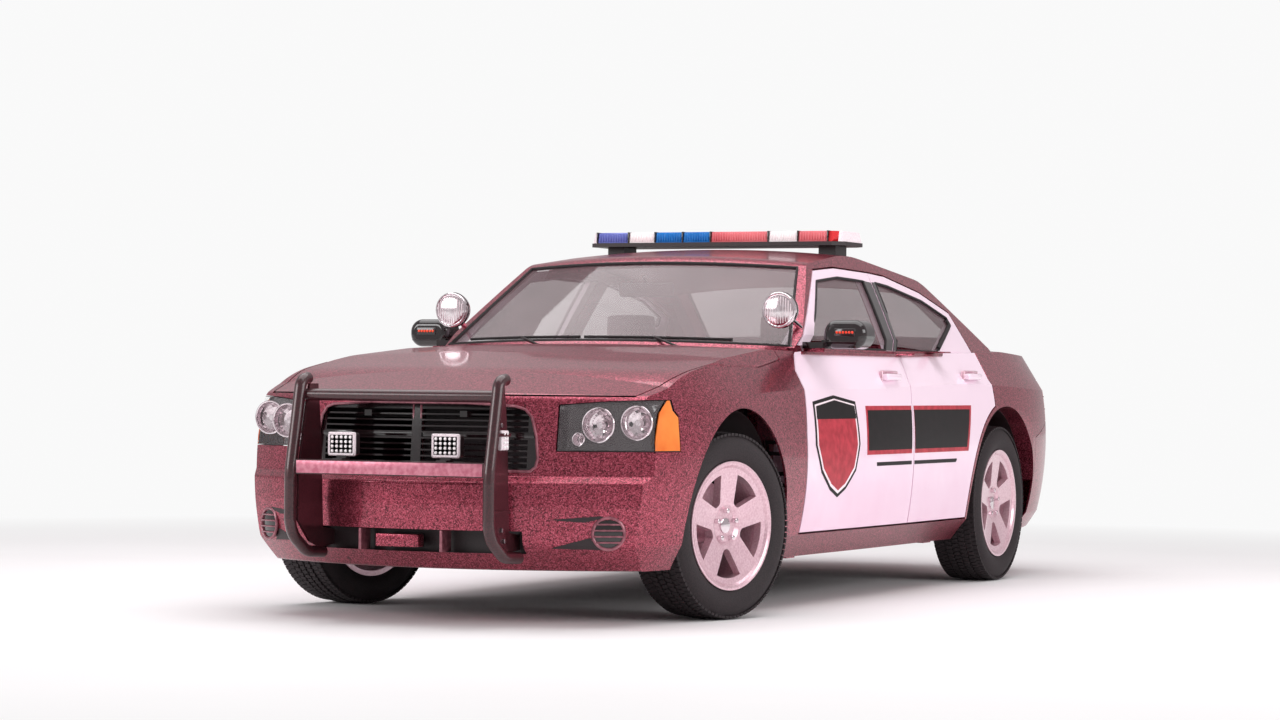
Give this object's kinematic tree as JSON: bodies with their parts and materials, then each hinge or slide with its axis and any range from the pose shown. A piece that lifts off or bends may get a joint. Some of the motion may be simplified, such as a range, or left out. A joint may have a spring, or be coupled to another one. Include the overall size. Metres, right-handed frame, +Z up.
{
  "type": "police patrol car",
  "caption": "Four-door full-size patrol sedan with push bumper, roof light bar and pillar spotlights, on steered front wheels.",
  "frame": {"origin": "on the ground under the middle of the car's length and width", "axes": "+Y to the tail, +X to the car's left, +Z up; the nose points to -Y"},
  "size_m": [2.104, 5.2459, 1.568],
  "materials": {
    "body_paint": "gloss",
    "white_paint": "gloss",
    "bare_steel": "matte",
    "wheel_alloy": "satin",
    "tyre_rubber": "matte",
    "window_glass": "gloss",
    "lamp_glass": "gloss",
    "tail_lamp_red": "gloss",
    "black_plastic": "satin",
    "bumper_plastic": "gloss",
    "push_bar_black": "satin",
    "chrome": "gloss",
    "bar_lenses": "gloss",
    "seat_fabric": "matte",
    "dash_plastic": "matte"
  },
  "bodies": {
    "car": {"body_shell": "body_paint", "fenders": "body_paint", "front_bumper": "bumper_plastic", "rear_bumper": "bumper_plastic", "grille": "bumper_plastic", "windshield": "window_glass", "rear_window": "window_glass", "door_hinges": "bare_steel", "floor_pan": "bare_steel", "front_frame": "bare_steel", "engine_block": "bare_steel", "front_axle": "bare_steel", "rear_axle": "bare_steel", "headlamps": "lamp_glass", "tail_lamps": "tail_lamp_red", "push_bumper": "push_bar_black", "push_lights": "black_plastic", "light_bar_base": "black_plastic", "light_bar_lenses": "bar_lenses", "spotlights": "chrome", "front_seats": "seat_fabric", "rear_seat": "seat_fabric", "dashboard": "dash_plastic", "steering_wheel": "black_plastic", "exhaust": "bare_steel"},
    "door_front_left_body": {"door_front_left": "white_paint", "door_glass_front_left": "window_glass", "mirror_left": "bumper_plastic"},
    "door_front_right_body": {"door_front_right": "white_paint", "door_glass_front_right": "window_glass", "mirror_right": "bumper_plastic"},
    "door_rear_left_body": {"door_rear_left": "white_paint", "door_glass_rear_left": "window_glass"},
    "door_rear_right_body": {"door_rear_right": "white_paint", "door_glass_rear_right": "window_glass"},
    "hood_body": {"hood": "body_paint"},
    "trunk_lid_body": {"trunk_lid": "body_paint"},
    "knuckle_left_body": {"knuckle_left": "bare_steel"},
    "knuckle_right_body": {"knuckle_right": "bare_steel"},
    "wheel_front_left_body": {"wheel_front_left": "wheel_alloy", "tyre_front_left": "tyre_rubber"},
    "wheel_front_right_body": {"wheel_front_right": "wheel_alloy", "tyre_front_right": "tyre_rubber"},
    "wheel_rear_left_body": {"wheel_rear_left": "wheel_alloy", "tyre_rear_left": "tyre_rubber"},
    "wheel_rear_right_body": {"wheel_rear_right": "wheel_alloy", "tyre_rear_right": "tyre_rubber"}
  },
  "joints": [
    {"name": "door_front_left_swing", "type": "hinge", "parent": "car", "child": "door_front_left_body", "pos_m": [0.906, -0.913, 0.59], "axis": [0, 0, -1], "range_deg": [0, 65]},
    {"name": "door_front_right_swing", "type": "hinge", "parent": "car", "child": "door_front_right_body", "pos_m": [-0.906, -0.913, 0.59], "axis": [0, 0, 1], "range_deg": [0, 65]},
    {"name": "door_rear_left_swing", "type": "hinge", "parent": "car", "child": "door_rear_left_body", "pos_m": [0.911, 0.28, 0.59], "axis": [0, 0, -1], "range_deg": [0, 65]},
    {"name": "door_rear_right_swing", "type": "hinge", "parent": "car", "child": "door_rear_right_body", "pos_m": [-0.911, 0.28, 0.59], "axis": [0, 0, 1], "range_deg": [0, 65]},
    {"name": "hood_lift", "type": "hinge", "parent": "car", "child": "hood_body", "pos_m": [0, -0.82, 1.012], "axis": [-1, 0, 0], "range_deg": [0, 50]},
    {"name": "trunk_lid_lift", "type": "hinge", "parent": "car", "child": "trunk_lid_body", "pos_m": [0, 1.828, 1.052], "axis": [1, 0, 0], "range_deg": [0, 75]},
    {"name": "steer_left", "type": "hinge", "parent": "car", "child": "knuckle_left_body", "pos_m": [0.7, -1.475, 0.358], "axis": [0, 0, 1], "range_deg": [-20.6, 49.4]},
    {"name": "steer_right", "type": "hinge", "parent": "car", "child": "knuckle_right_body", "pos_m": [-0.7, -1.475, 0.358], "axis": [0, 0, 1], "range_deg": [-20.6, 49.4]},
    {"name": "roll_front_left", "type": "hinge", "parent": "knuckle_left_body", "child": "wheel_front_left_body", "pos_m": [0.79686, -1.49987, 0.358], "axis": [0.9686, -0.2487, 0], "continuous": true},
    {"name": "roll_front_right", "type": "hinge", "parent": "knuckle_right_body", "child": "wheel_front_right_body", "pos_m": [-0.79686, -1.45013, 0.358], "axis": [-0.9686, 0.2487, 0], "continuous": true},
    {"name": "roll_rear_left", "type": "hinge", "parent": "car", "child": "wheel_rear_left_body", "pos_m": [0.8, 1.573, 0.358], "axis": [1, 0, 0], "continuous": true},
    {"name": "roll_rear_right", "type": "hinge", "parent": "car", "child": "wheel_rear_right_body", "pos_m": [-0.8, 1.573, 0.358], "axis": [-1, 0, 0], "continuous": true}
  ],
  "couplings": [
    {"joint": "steer_right", "follows": "steer_left", "ratio": 1}
  ]
}
